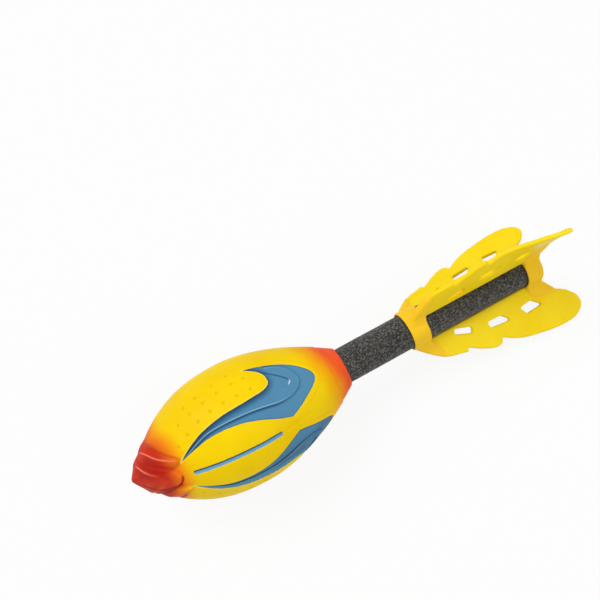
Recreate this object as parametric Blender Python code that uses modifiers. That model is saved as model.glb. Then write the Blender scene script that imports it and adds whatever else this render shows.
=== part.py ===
# Foam throwing rocket: a moulded foam head on a foam-covered stick, with a soft
# three-finned tail pushed over the far end of the stick.
#
# Everything is modelled upright along +Z, nose at the bottom, with the top fin
# along +X. At the end the whole rocket is laid down the way it rests on a table:
# on its head and on two of its fins, with the third fin pointing up.

import bpy
import bmesh
import math
import numpy as np
from mathutils import Matrix, Vector

# Driving dimensions, in metres and degrees

HEAD_LENGTH = 0.1513
HEAD_RADIUS = 0.0403
HEAD_WIDEST_FROM_RIM = 0.0726
HEAD_LIP = 0.0011
RIM_BAND_LENGTH = 0.0105
RIM_BAND_STEP = 0.0005
SOCKET_DEPTH = 0.062
FLASH_DEPTH = 0.0010
BAR_WIDTH = 0.0028
BAR_DEPTH = 0.0011
NOSE_STEP = 0.0007
PATTERN_TURN = 42.0

STICK_LENGTH_SHOWN = 0.0486
SLEEVE_RADIUS = 0.0120
CORE_RADIUS = 0.0040

COLLAR_WALL = 0.0015
FRONT_COLLAR_LENGTH = 0.0135
REAR_COLLAR_LENGTH = 0.0127
CAGE_OPENING = 0.0776
FIN_REACH = 0.0490
FIN_OVERHANG = 0.0218
FIN_THICKNESS = 0.0034
GUSSET_STEP = 0.0008
ROOT_FILLET = 0.0026
REAR_GUSSET_HEIGHT = 0.0098
REAR_GUSSET_TRAIL = 0.0076
REAR_ROOT_TRAIL = 0.0011
TOP_FIN_DROOP = 0.0100
TOP_FIN_PULL = 0.0080

FIN_COUNT = 3
FIT_GAP = 0.0003
EDGE_INSET = 0.0002
END_RECESS = 0.0012

# How finely the round forms are faceted

HEAD_STEPS = 64
TUBE_STEPS = 48
WRAP_CELL = 0.006
MERGE = 0.00005

# Places that follow from the sizes above, along the rocket's axis from the nose

TAIL_START = HEAD_LENGTH + STICK_LENGTH_SHOWN
REAR_COLLAR_START = FRONT_COLLAR_LENGTH + CAGE_OPENING
REAR_COLLAR_END = REAR_COLLAR_START + REAR_COLLAR_LENGTH
FIN_LENGTH = REAR_COLLAR_END + FIN_OVERHANG
STICK_END = TAIL_START + REAR_COLLAR_END - END_RECESS
SOCKET_FLOOR = HEAD_LENGTH - SOCKET_DEPTH
BORE_RADIUS = SLEEVE_RADIUS + FIT_GAP
COLLAR_RADIUS = BORE_RADIUS + COLLAR_WALL
FIN_RISE = FIN_REACH - BORE_RADIUS
HEAD_RIM_RADIUS = BORE_RADIUS + HEAD_LIP + RIM_BAND_STEP
NOSE_SETBACK = 2 * NOSE_STEP
GUSSET_TOP = COLLAR_RADIUS + REAR_GUSSET_HEIGHT

# How full the head is: the nose rounds off by these two powers, and behind the
# widest point the taper to the rim eases in by the third.

NOSE_POWERS = (2.49, 1.08)
TAPER_POWER = 1.776

# Outline of one painted flash, as (share of the head's length from its rim,
# degrees round from the middle of the face): tail tip, bar side, blunt rear end,
# hooked tip, and back along the finger-dimple side.

FLASH_SHARES = [
    (0.768, 14), (0.694, 19.5), (0.615, 22.5), (0.525, 22.5), (0.436, 18.5), (0.367, 12),
    (0.312, 5), (0.268, 7.5), (0.218, 12.5), (0.173, 19.5), (0.149, 27.5), (0.144, 36.5),
    (0.164, 45), (0.198, 53), (0.248, 59.5), (0.317, 63.5), (0.402, 67.5),
    (0.352, 61), (0.327, 55), (0.322, 49), (0.327, 43.5), (0.357, 39.5), (0.406, 37.5),
    (0.466, 37), (0.535, 35.5), (0.595, 33.5), (0.654, 30), (0.714, 24),
]
BAR_SHARES = (0.362, 0.739)

# Outlines of the stepped nose seen square to a face, as (sideways, along from the
# tip), each a share of the head's radius and length: a middle tongue and one cheek.
# The layers are cut from a copy of the nose that reaches past both of them.

TONGUE_SHARES = [(0.0, 0.212), (0.06, 0.207), (0.10, 0.19), (0.145, 0.165), (0.20, 0.13), (0.28, 0.10),
                  (0.40, 0.075), (0.40, -0.02)]
CHEEK_SHARES = [(0.14, 0.16), (0.18, 0.195), (0.255, 0.225), (0.345, 0.19), (0.43, 0.16), (0.50, 0.12),
                 (0.62, 0.09), (0.62, -0.02), (0.14, -0.02)]
NOSE_COPY_SHARE = 0.3

# One fin's edge from the front collar to the rear one, as (share of the fin's
# length, share of its rise above the stick, corner or round).

FIN_EDGE_SHARES = [
    (0.012, 0.050, "corner"), (0.085, 0.285, "round"), (0.155, 0.455, "round"),
    (0.235, 0.530, "round"), (0.279, 0.573, "corner"), (0.279, 0.487, "corner"),
    (0.365, 0.665, "round"), (0.440, 0.755, "round"), (0.477, 0.722, "round"),
    (0.482, 0.635, "corner"), (0.565, 0.805, "round"), (0.690, 0.925, "round"),
    (0.860, 1.000, "round"), (0.955, 0.945, "round"), (0.999, 0.750, "round"),
    (0.960, 0.480, "round"),
]
FIN_WINDOW_SHARES = [
    [(0.255, 0.062), (0.350, 0.168), (0.341, 0.290), (0.248, 0.155)],
    [(0.443, 0.250), (0.530, 0.262), (0.574, 0.428), (0.452, 0.380)],
    [(0.652, 0.312), (0.724, 0.285), (0.780, 0.455), (0.678, 0.475)],
]

# Where the top fin starts to lean over, as shares of its length and rise, and how
# much of a gusset's extra thickness is left at the fin's crest.

DROOP_SHARES = (0.45, 0.20)
GUSSET_TAPER_SHARE = 0.6

COLOURS = {
    "head": ((0.93, 0.70, 0.02), 0.45),
    "foam_sleeve": ((0.055, 0.052, 0.050), 0.9),
    "core_rod": ((0.75, 0.75, 0.72), 0.5),
    "tail_fin_unit": ((0.95, 0.70, 0.02), 0.5),
}


def empty_the_scene():
    for obj in list(bpy.data.objects):
        bpy.data.objects.remove(obj, do_unlink=True)


def new_collection(name):
    collection = bpy.data.collections.new(name)
    bpy.context.scene.collection.children.link(collection)
    return collection


def add_mesh_object(name, mesh, collection, is_cutter=False):
    obj = bpy.data.objects.new(name, mesh)
    collection.objects.link(obj)
    if is_cutter:
        obj.hide_render = True
        obj.display_type = 'WIRE'
    return obj


def mesh_from_bmesh(name, bm):
    mesh = bpy.data.meshes.new(name)
    bm.to_mesh(mesh)
    bm.free()
    return mesh


def baked(obj, name=None):
    # The object's mesh with its modifiers applied and loose caps welded.
    bpy.context.view_layer.update()
    evaluated = obj.evaluated_get(bpy.context.evaluated_depsgraph_get())
    mesh = bpy.data.meshes.new_from_object(evaluated)
    mesh.name = name or obj.name
    bm = bmesh.new()
    bm.from_mesh(mesh)
    bmesh.ops.remove_doubles(bm, verts=bm.verts, dist=MERGE / 10)
    bm.to_mesh(mesh)
    bm.free()
    return mesh


def lathe(name, profile, steps, collection, is_cutter=False):
    # Turns a profile of (radius, height) points round Z.
    bm = bmesh.new()
    verts = [bm.verts.new((radius, 0, height)) for radius, height in profile]
    for first, second in zip(verts, verts[1:]):
        bm.edges.new((first, second))
    if profile[0][0] > 0:
        bm.edges.new((verts[-1], verts[0]))
    obj = add_mesh_object(name, mesh_from_bmesh(name, bm), collection, is_cutter)
    screw = obj.modifiers.new("turn", 'SCREW')
    screw.steps = steps
    screw.render_steps = steps
    screw.use_merge_vertices = True
    screw.merge_threshold = MERGE
    screw.use_smooth_shade = True
    return obj


def boolean(obj, operand, operation):
    modifier = obj.modifiers.new(operation.lower() + " " + operand.name, 'BOOLEAN')
    modifier.operation = operation
    modifier.solver = 'EXACT'
    modifier.object = operand


def prism(name, outline, low, high, collection):
    # A flat outline in X and Y, extruded along Z.
    bm = bmesh.new()
    face = bm.faces.new([bm.verts.new((x, y, low)) for x, y in outline])
    top = bmesh.ops.extrude_face_region(bm, geom=[face])
    lifted = [item for item in top["geom"] if isinstance(item, bmesh.types.BMVert)]
    bmesh.ops.translate(bm, verts=lifted, vec=(0, 0, high - low))
    bmesh.ops.recalc_face_normals(bm, faces=bm.faces)
    return add_mesh_object(name, mesh_from_bmesh(name, bm), collection, is_cutter=True)


def head_surface(height):
    # Radius of the head's smooth skin at a height above the nose tip: a rounded
    # nose in front of the widest point, an easing taper behind it. The skin's own
    # tip is set back by the two layers that the nose gets on top of it.
    widest = HEAD_LENGTH - HEAD_WIDEST_FROM_RIM
    if height <= widest:
        share = min(max((widest - height) / (widest - NOSE_SETBACK), 0.0), 1.0)
        return HEAD_RADIUS * (1 - share ** NOSE_POWERS[0]) ** (1 / NOSE_POWERS[1])
    share = (height - widest) / HEAD_WIDEST_FROM_RIM
    return HEAD_RADIUS - (HEAD_RADIUS - HEAD_RIM_RADIUS) * share ** TAPER_POWER


def head_profile_heights(top):
    # Heights down the outer side, closer together where the nose turns in.
    widest = HEAD_LENGTH - HEAD_WIDEST_FROM_RIM
    rear = [HEAD_LENGTH - share * HEAD_WIDEST_FROM_RIM for share in np.linspace(0, 1, 13)]
    front = [NOSE_SETBACK + (widest - NOSE_SETBACK) * (1 - math.sin(math.radians(angle)) ** 1.3)
             for angle in np.linspace(6, 84, 14)]
    return [height for height in rear + front if height <= top]


def make_head_blank(collection):
    # The head with its blind socket, and a band at the rim that lies a step lower.
    band = HEAD_LENGTH - RIM_BAND_LENGTH
    lower = [height for height in head_profile_heights(HEAD_LENGTH) if height > band + RIM_BAND_STEP]
    profile = [(0, SOCKET_FLOOR), (BORE_RADIUS, SOCKET_FLOOR), (BORE_RADIUS, HEAD_LENGTH)]
    profile += [(head_surface(height) - RIM_BAND_STEP, height) for height in lower + [band + RIM_BAND_STEP]]
    profile += [(head_surface(height), height) for height in [band] + head_profile_heights(band - RIM_BAND_STEP)]
    profile += [(0, NOSE_SETBACK)]
    return lathe("head", profile, HEAD_STEPS, collection)


def wrapped_slab(bm, outline, depth, turn):
    # Lays an outline of (height, degrees) points on the head's skin as a thick
    # patch that starts at the given depth below the skin and ends above it.
    patch = bmesh.new()
    face_verts = [patch.verts.new((math.radians(angle) * HEAD_RADIUS, height, 0)) for height, angle in outline]
    patch.faces.new(face_verts)
    lows = [min(vert.co[axis] for vert in face_verts) for axis in (0, 1)]
    highs = [max(vert.co[axis] for vert in face_verts) for axis in (0, 1)]
    for axis, normal in ((0, (1, 0, 0)), (1, (0, 1, 0))):
        for step in range(1, int((highs[axis] - lows[axis]) / WRAP_CELL) + 1):
            place = [0, 0, 0]
            place[axis] = lows[axis] + step * WRAP_CELL
            everything = list(patch.verts) + list(patch.edges) + list(patch.faces)
            bmesh.ops.bisect_plane(patch, geom=everything, plane_co=place, plane_no=normal)
    bmesh.ops.triangulate(patch, faces=patch.faces)
    outer = bmesh.ops.extrude_face_region(patch, geom=list(patch.faces))
    raised = [item for item in outer["geom"] if isinstance(item, bmesh.types.BMVert)]
    bmesh.ops.translate(patch, verts=raised, vec=(0, 0, 1))
    for vert in patch.verts:
        angle = vert.co.x / HEAD_RADIUS + math.radians(turn)
        radius = head_surface(vert.co.y) + (2 * depth if vert.co.z > 0.5 else -depth)
        vert.co = (radius * math.cos(angle), radius * math.sin(angle), vert.co.y)
    bmesh.ops.recalc_face_normals(patch, faces=patch.faces)
    mesh = mesh_from_bmesh("patch", patch)
    bm.from_mesh(mesh)
    bpy.data.meshes.remove(mesh)


def bar_outline():
    # The straight groove between the flashes, with round ends.
    half = BAR_WIDTH / 2
    low, high = [HEAD_LENGTH * (1 - share) for share in reversed(BAR_SHARES)]
    points = []
    for centre, start in ((high - half, 0), (low + half, 180)):
        for angle in range(start, start + 181, 36):
            sideways = half * math.cos(math.radians(angle))
            points.append((centre + half * math.sin(math.radians(angle)), math.degrees(sideways / HEAD_RADIUS)))
    return points


def make_flash_cutter(collection):
    bm = bmesh.new()
    flash = [(HEAD_LENGTH * (1 - share), angle) for share, angle in FLASH_SHARES]
    mirrored = [(height, -angle) for height, angle in flash]
    for face_turn in (0, 180):
        turn = PATTERN_TURN + face_turn
        for outline in (flash, mirrored):
            wrapped_slab(bm, outline, FLASH_DEPTH, turn)
        wrapped_slab(bm, bar_outline(), BAR_DEPTH, turn)
    return add_mesh_object("flash_cutter", mesh_from_bmesh("flash_cutter", bm), collection, is_cutter=True)


def make_nose_layer(name, outlines, height_above, collection):
    # A solid of the nose, a step larger than the head, kept only inside outlines
    # that are pushed right through it from face to face.
    top = NOSE_COPY_SHARE * HEAD_LENGTH
    heights = [top] + head_profile_heights(top - NOSE_STEP)
    profile = [(0, top)] + [(head_surface(height) + height_above, height) for height in heights]
    profile += [(0, NOSE_SETBACK - height_above)]
    layer = lathe(name, profile, HEAD_STEPS, collection, is_cutter=True)
    turn = Matrix.Rotation(math.radians(PATTERN_TURN), 4, 'Z') @ Matrix.Rotation(math.radians(90), 4, 'X')
    turn = turn @ Matrix.Rotation(math.radians(90), 4, 'Y')
    bm = bmesh.new()
    for outline in outlines:
        flat = [(side * HEAD_RADIUS, along * HEAD_LENGTH) for side, along in outline]
        block = prism(name + "_block", flat, -HEAD_RADIUS, HEAD_RADIUS, collection)
        piece = block.data
        piece.transform(turn)
        bm.from_mesh(piece)
        bpy.data.objects.remove(block)
    keep = add_mesh_object(name + "_outline", mesh_from_bmesh(name, bm), collection, is_cutter=True)
    boolean(layer, keep, 'INTERSECT')
    return layer


def both_sides(outline):
    return outline + [(-side, along) for side, along in reversed(outline) if side > 0]


def make_head(parts, cutters):
    head = make_head_blank(parts)
    boolean(head, make_flash_cutter(cutters), 'DIFFERENCE')
    other_cheek = [(-side, along) for side, along in reversed(CHEEK_SHARES)]
    cheeks = make_nose_layer("nose_cheeks", [CHEEK_SHARES, other_cheek], NOSE_STEP, cutters)
    tongue = make_nose_layer("nose_tongue", [both_sides(TONGUE_SHARES)], 2 * NOSE_STEP, cutters)
    boolean(head, cheeks, 'UNION')
    boolean(head, tongue, 'UNION')
    return head


def make_tube(name, inner, outer, low, high, collection):
    profile = [(outer, high), (outer, low), (inner, low), (inner, high)]
    if inner == 0:
        profile = [(0, high), (outer, high), (outer, low), (0, low)]
    return lathe(name, profile, TUBE_STEPS, collection)


def fin_point(share_along, share_up):
    return (BORE_RADIUS + share_up * FIN_RISE, share_along * FIN_LENGTH)


def add_bezier(curve, points):
    # Points are (x, y, kind): corners get straight handles and round ones smooth.
    spline = curve.splines.new('BEZIER')
    spline.bezier_points.add(len(points) - 1)
    for bezier, (x, y, kind) in zip(spline.bezier_points, points):
        bezier.co = (x, y, 0)
        handle = 'VECTOR' if kind == "corner" else 'AUTO'
        bezier.handle_left_type = handle
        bezier.handle_right_type = handle
    spline.use_cyclic_u = True


def make_fin_sheet(collection):
    # One flat fin with its windows, radius along X and the rocket's axis along Y.
    curve = bpy.data.curves.new("fin_sheet", 'CURVE')
    curve.dimensions = '2D'
    curve.fill_mode = 'BOTH'
    curve.extrude = FIN_THICKNESS / 2
    curve.resolution_u = 5
    edge = [fin_point(along, up) + (kind,) for along, up, kind in FIN_EDGE_SHARES]
    edge.insert(0, (BORE_RADIUS, 0, "corner"))
    edge.append((GUSSET_TOP, REAR_COLLAR_END + REAR_GUSSET_TRAIL, "corner"))
    edge.append((COLLAR_RADIUS, REAR_COLLAR_END + REAR_ROOT_TRAIL, "corner"))
    edge.append((BORE_RADIUS, REAR_COLLAR_END, "corner"))
    add_bezier(curve, edge)
    for window in FIN_WINDOW_SHARES:
        add_bezier(curve, [fin_point(along, up) + ("corner",) for along, up in window])
    obj = bpy.data.objects.new("fin_sheet", curve)
    collection.objects.link(obj)
    mesh = baked(obj)
    bpy.data.objects.remove(obj)
    return mesh


def droop(mesh):
    # The free trailing lobe of the top fin hangs over to one side and is drawn
    # forward by that. The flat sheet is first cut across, so that it can bend.
    start_up, start_along = fin_point(*DROOP_SHARES)
    bm = bmesh.new()
    bm.from_mesh(mesh)
    for axis, low, high, cuts in ((0, start_up, FIN_REACH, 5), (1, start_along, FIN_LENGTH, 7)):
        for share in np.linspace(0, 1, cuts, endpoint=False):
            place = [0, 0, 0]
            place[axis] = low + share * (high - low)
            normal = [0, 0, 0]
            normal[axis] = 1
            everything = list(bm.verts) + list(bm.edges) + list(bm.faces)
            bmesh.ops.bisect_plane(bm, geom=everything, plane_co=place, plane_no=normal)
    bmesh.ops.triangulate(bm, faces=bm.faces)
    for vert in bm.verts:
        along = min(max((vert.co.y - start_along) / (FIN_LENGTH - start_along), 0), 1)
        up = max((vert.co.x - start_up) / (FIN_REACH - start_up), 0)
        vert.co.z -= TOP_FIN_DROOP * along * along * (3 - 2 * along) * up ** 1.5
        vert.co.y -= TOP_FIN_PULL * along ** 3 * min(up * 1.4, 1)
    return mesh_from_bmesh("drooped_sheet", bm)


def star_outline():
    # Cross-section of a collar with the thick roots of the fins: the collar's
    # circle, and for each fin an arm that flares into it.
    outline = []
    half = FIN_THICKNESS / 2 + GUSSET_STEP
    base_half = half + ROOT_FILLET
    base_angle = math.degrees(math.asin(base_half / COLLAR_RADIUS))
    base_radius = COLLAR_RADIUS * math.cos(math.radians(base_angle))
    flare = []
    for share in (0.0, 0.3, 0.6, 0.8, 1.0):
        flare.append((COLLAR_RADIUS + share * ROOT_FILLET, half + ROOT_FILLET * (1 - share) ** 2))
    flare[0] = (base_radius, base_half)
    flare.append((FIN_REACH, FIN_THICKNESS / 2 + GUSSET_TAPER_SHARE * GUSSET_STEP))
    spacing = 360 / FIN_COUNT
    for index in range(FIN_COUNT):
        middle = math.radians(index * spacing)
        along = Vector((math.cos(middle), math.sin(middle)))
        across = Vector((-math.sin(middle), math.cos(middle)))
        outline += [along * reach - across * side for reach, side in flare]
        outline += [along * reach + across * side for reach, side in reversed(flare)]
        for share in np.linspace(0, 1, 12)[1:-1]:
            angle = math.radians(index * spacing + base_angle + share * (spacing - 2 * base_angle))
            outline.append(Vector((math.cos(angle), math.sin(angle))) * COLLAR_RADIUS)
    return [(point.x, point.y) for point in outline]


def make_collar(name, profile, collection):
    # A turned ring with the fins' side outline, kept only inside the star.
    ring = lathe(name, [(radius, TAIL_START + along) for radius, along in profile], TUBE_STEPS,
                 collection, is_cutter=True)
    star = prism(name + "_star", star_outline(), TAIL_START - FRONT_COLLAR_LENGTH, TAIL_START + FIN_LENGTH,
                 collection)
    boolean(ring, star, 'INTERSECT')
    return ring


def front_collar_profile():
    # Up the rear face, along the gusset's rear edge, and down the leading edge.
    low, middle, crest = [fin_point(along, up) for along, up, kind in FIN_EDGE_SHARES[:3]]
    return [
        (BORE_RADIUS, FRONT_COLLAR_LENGTH), (COLLAR_RADIUS, FRONT_COLLAR_LENGTH), crest, middle,
        (COLLAR_RADIUS, low[1]), (COLLAR_RADIUS, 0), (BORE_RADIUS, 0),
    ]


def rear_collar_profile():
    # The rear gusset leans back: it rises in a curve from the front of the collar
    # and ends behind it.
    rise = REAR_GUSSET_HEIGHT
    rear_edge = REAR_COLLAR_END + REAR_GUSSET_TRAIL
    front = [(COLLAR_RADIUS + rise * math.sin(angle), REAR_COLLAR_START + rise * (1 - math.cos(angle)))
             for angle in np.radians((75, 50, 25, 0))]
    return [
        (BORE_RADIUS, REAR_COLLAR_END), (COLLAR_RADIUS, REAR_COLLAR_END),
        (GUSSET_TOP - EDGE_INSET, rear_edge - EDGE_INSET), (GUSSET_TOP, rear_edge - 4 * EDGE_INSET),
        (GUSSET_TOP, REAR_COLLAR_START + rise), *front, (BORE_RADIUS, REAR_COLLAR_START),
    ]


def make_tail(parts, cutters):
    collar = make_collar("front_collar", front_collar_profile(), cutters)
    tail = add_mesh_object("tail_fin_unit", baked(collar, "tail_fin_unit"), parts)
    boolean(tail, make_collar("rear_collar", rear_collar_profile(), cutters), 'UNION')
    flat = make_fin_sheet(cutters)
    drooped = droop(flat)
    for index in range(FIN_COUNT):
        angle = math.radians(index * 360 / FIN_COUNT)
        along = Vector((math.cos(angle), math.sin(angle), 0))
        sheet = add_mesh_object(f"fin_{index + 1}", flat if index else drooped, cutters, is_cutter=True)
        sheet.matrix_world = Matrix.Translation((0, 0, TAIL_START)) @ Matrix((
            (along.x, 0, along.y, 0), (along.y, 0, -along.x, 0), (0, 1, 0, 0), (0, 0, 0, 1)))
        boolean(tail, sheet, 'UNION')
    return tail


def add_material(obj):
    colour, roughness = COLOURS[obj.name]
    material = bpy.data.materials.new(obj.name)
    material.use_nodes = True
    shader = material.node_tree.nodes["Principled BSDF"]
    shader.inputs["Base Color"].default_value = (*colour, 1)
    shader.inputs["Roughness"].default_value = roughness
    shader.inputs["Metallic"].default_value = 0
    obj.data.materials.clear()
    obj.data.materials.append(material)


def world_points(obj):
    # Every corner of the finished mesh, in the upright frame.
    mesh = baked(obj)
    points = np.array([vert.co for vert in mesh.vertices])
    bpy.data.meshes.remove(mesh)
    return points


def lay_down(pieces, cutters, head, tail):
    # Turns the upright rocket onto its side, top fin up, then tips it about the
    # Y axis until the head and the lower fins touch one level surface. The
    # cutters go along, because they still shape the pieces.
    lying = Matrix(((0, 0, 1, 0), (0, -1, 0, 0), (1, 0, 0, 0), (0, 0, 0, 1)))
    flat = np.array(lying.to_3x3())
    head_points = world_points(head) @ flat.T
    tail_points = world_points(tail) @ flat.T

    def lowest(points, angle):
        return (points[:, 2] * math.cos(angle) - points[:, 0] * math.sin(angle)).min()

    level, steep = math.radians(-30), math.radians(30)
    for _ in range(60):
        angle = (level + steep) / 2
        if lowest(head_points, angle) < lowest(tail_points, angle):
            level = angle
        else:
            steep = angle
    tipped = Matrix.Rotation(angle, 4, 'Y')
    turned = np.vstack([world_points(piece) for piece in pieces]) @ np.array((tipped @ lying).to_3x3()).T
    low, high = turned.min(axis=0), turned.max(axis=0)
    base = Vector((-(low[0] + high[0]) / 2, -(low[1] + high[1]) / 2, -low[2]))
    rest = bpy.data.objects.new("resting_place", None)
    bpy.context.scene.collection.objects.link(rest)
    rest.matrix_world = Matrix.Translation(base) @ tipped @ lying
    for obj in pieces + list(cutters.objects):
        obj.parent = rest


def build():
    empty_the_scene()
    parts = new_collection("foam_throwing_rocket")
    cutters = new_collection("cutters")
    head = make_head(parts, cutters)
    start = SOCKET_FLOOR + FIT_GAP
    sleeve = make_tube("foam_sleeve", CORE_RADIUS + FIT_GAP, SLEEVE_RADIUS, start, STICK_END, parts)
    core = make_tube("core_rod", 0, CORE_RADIUS, start, STICK_END, parts)
    tail = make_tail(parts, cutters)
    pieces = [head, sleeve, core, tail]
    for piece in pieces:
        add_material(piece)
    lay_down(pieces, cutters, head, tail)


build()
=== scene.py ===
# Foam throwing rocket: a moulded, airbrushed foam head on a foam-covered stick,
# with a soft three-finned tail. Every piece is shaped standing on its nose, with
# its axis along Z, and then laid down where the CAD has it.

import math

import bpy
import numpy as np
from mathutils import Matrix, Vector, noise


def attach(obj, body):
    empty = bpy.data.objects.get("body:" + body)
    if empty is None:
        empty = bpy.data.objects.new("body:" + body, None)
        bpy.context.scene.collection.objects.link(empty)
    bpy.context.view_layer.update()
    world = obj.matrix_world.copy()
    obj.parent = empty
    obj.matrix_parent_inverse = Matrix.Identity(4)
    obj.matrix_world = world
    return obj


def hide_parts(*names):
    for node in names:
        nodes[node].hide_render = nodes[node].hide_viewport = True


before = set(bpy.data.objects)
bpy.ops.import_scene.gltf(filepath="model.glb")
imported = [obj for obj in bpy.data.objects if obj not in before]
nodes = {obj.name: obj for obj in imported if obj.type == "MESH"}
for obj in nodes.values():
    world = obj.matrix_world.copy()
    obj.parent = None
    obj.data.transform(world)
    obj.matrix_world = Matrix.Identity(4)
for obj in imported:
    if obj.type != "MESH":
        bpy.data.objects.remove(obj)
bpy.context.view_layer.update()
print("CAD nodes:", ", ".join(sorted(nodes)))

rocket = {
    "nose": (-0.1618166, 0.0, 0.0450978),   # the nose's tip as the rocket lies on its table
    "tilt": 3.51282,                        # degrees, tail down
    "stickEnd": 0.3025,                     # both along the axis from the nose
    "tailStart": 0.1999,
    "near": 1e-5,                           # metres, what lies closer counts as level or touching
}

# from a piece that stands on its nose to its place on the lying rocket
standing = Matrix(((0, 0, 1, 0), (0, -1, 0, 0), (1, 0, 0, 0), (0, 0, 0, 1)))
tipped = Matrix.Rotation(math.radians(rocket["tilt"]), 4, "Y")
atRest = Matrix.Translation(rocket["nose"]) @ tipped @ standing


# Shader sums

class Wire:
    # a socket of a finish that can stand in a Python sum
    def __init__(self, finish, socket):
        self.finish = finish
        self.socket = socket

    def sum(self, operation, first, second):
        return self.finish.node("ShaderNodeMath", {"operation": operation}, {0: first, 1: second})

    def __add__(self, other):
        return self.sum("ADD", self, other)

    def __radd__(self, other):
        return self.sum("ADD", other, self)

    def __sub__(self, other):
        return self.sum("SUBTRACT", self, other)

    def __rsub__(self, other):
        return self.sum("SUBTRACT", other, self)

    def __mul__(self, other):
        return self.sum("MULTIPLY", self, other)

    def __rmul__(self, other):
        return self.sum("MULTIPLY", other, self)

    def rise(self, low, high, floor=0.0, top=1.0):
        # eases from floor to top while this goes from low to high
        return self.finish.node("ShaderNodeMapRange", {"interpolation_type": "SMOOTHSTEP"}, {
            "Value": self, "From Min": low, "From Max": high, "To Min": floor, "To Max": top})


class Finish:
    # one material, with its constant sockets set on the shader itself
    def __init__(self, name, constants):
        self.material = bpy.data.materials.new(name)
        self.material.use_nodes = True
        self.tree = self.material.node_tree
        self.shader = self.tree.nodes["Principled BSDF"]
        for socket, value in constants.items():
            self.shader.inputs[socket].default_value = value
        self.place = self.node("ShaderNodeTexCoord", {}, {}, "Object")

    def node(self, kind, settings, sockets, output=0):
        made = self.tree.nodes.new(kind)
        for name, value in settings.items():
            setattr(made, name, value)
        for name, value in sockets.items():
            if isinstance(value, Wire):
                self.tree.links.new(value.socket, made.inputs[name])
            else:
                made.inputs[name].default_value = value
        return Wire(self, made.outputs[output])

    def reading(self, name):
        # a number stored on the mesh's points
        return self.node("ShaderNodeAttribute", {"attribute_name": name}, {}, "Fac")

    def grain(self, scale, detail, roughness):
        return self.node("ShaderNodeTexNoise", {}, {
            "Vector": self.place, "Scale": scale, "Detail": detail, "Roughness": roughness})

    def cells(self, scale):
        return self.node("ShaderNodeTexVoronoi", {}, {"Vector": self.place, "Scale": scale}, "Distance")

    def colour(self, factor, first, second):
        # the sockets 6 and 7 and the output 2 are those for colours
        first, second = [value if isinstance(value, Wire) else (*value, 1.0) for value in (first, second)]
        return self.node("ShaderNodeMix", {"data_type": "RGBA"}, {0: factor, 6: first, 7: second}, 2)

    def feed(self, socket, wire):
        self.tree.links.new(wire.socket, self.shader.inputs[socket])

    def bump(self, height, strength=1.0, distance=1.0):
        # the height is in metres where the two others are left at one
        sockets = {"Strength": strength, "Distance": distance, "Height": height}
        self.feed("Normal", self.node("ShaderNodeBump", {}, sockets))

    def dress(self, piece):
        piece.data.materials.clear()
        piece.data.materials.append(self.material)


# Helpers for shaping

def deselectAll():
    if bpy.context.object and bpy.context.object.mode != "OBJECT":
        bpy.ops.object.mode_set(mode="OBJECT")
    bpy.ops.object.select_all(action="DESELECT")


def takeUp(piece):
    deselectAll()
    piece.select_set(True)
    bpy.context.view_layer.objects.active = piece


def finishWith(piece, kind, **settings):
    takeUp(piece)
    modifier = piece.modifiers.new(kind.lower(), kind)
    for name, value in settings.items():
        setattr(modifier, name, value)
    bpy.ops.object.modifier_apply(modifier=modifier.name)


def pointsOf(piece):
    flat = np.zeros(len(piece.data.vertices) * 3, np.float32)
    piece.data.vertices.foreach_get("co", flat)
    return flat.reshape(-1, 3).astype(float)


def movePoints(piece, points):
    piece.data.vertices.foreach_set("co", points.astype(np.float32).ravel())
    piece.data.update()


def keepReading(piece, name, values):
    stored = piece.data.attributes.new(name, "FLOAT", "POINT")
    stored.data.foreach_set("value", np.asarray(values, np.float32))


def layDown(piece):
    piece.data.transform(atRest)
    piece.data.update()
    piece.matrix_world = Matrix.Identity(4)


def ease(value, low, high):
    # zero at low and one at high, whichever is the larger
    share = np.clip((value - low) / (high - low), 0, 1)
    return share * share * (3 - 2 * share)


def flowing(points, corners=(), closed=False, steps=6):
    # a smooth line through points, sharp at the corners given by their places in the list
    points = [np.array(point, float) for point in points]
    if closed:
        first = corners[0] if corners else 0
        order = [(first + step) % len(points) for step in range(len(points) + 1)]
        sharp = {step for step, place in enumerate(order) if place in corners}
        points = [points[place] for place in order]
    else:
        sharp = set(corners)
    sharp |= {0, len(points) - 1}
    line = []
    for place in range(len(points) - 1):
        here, there = points[place], points[place + 1]
        before = here if place in sharp else points[place - 1]
        after = there if place + 1 in sharp else points[place + 2]
        for step in range(steps):
            share = step / steps
            bend = 2 * before - 5 * here + 4 * there - after
            twist = 3 * here - before - 3 * there + after
            line.append(0.5 * (2 * here + (there - before) * share + bend * share ** 2 + twist * share ** 3))
    if not closed:
        line.append(points[-1])
    return np.array(line)


def nearness(spots, scale, line, closed=False):
    # how far each spot of the skin is from a line drawn on it, and the side it lies on
    best = np.full(len(spots), 1e9)
    side = np.zeros(len(spots))
    ends = np.roll(line, -1, axis=0) if closed else line[1:]
    for start, end in zip(line, ends):
        along = (end - start) * scale
        off = (spots - start) * scale
        length = np.maximum((along ** 2).sum(axis=1), 1e-12)
        share = np.clip((off * along).sum(axis=1) / length, 0, 1)
        gap = off - along * share[:, None]
        distance = (gap ** 2).sum(axis=1)
        closer = distance < best
        best = np.where(closer, distance, best)
        side = np.where(closer, np.sign(along[:, 0] * off[:, 1] - along[:, 1] * off[:, 0]), side)
    return np.sqrt(best), side


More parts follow.
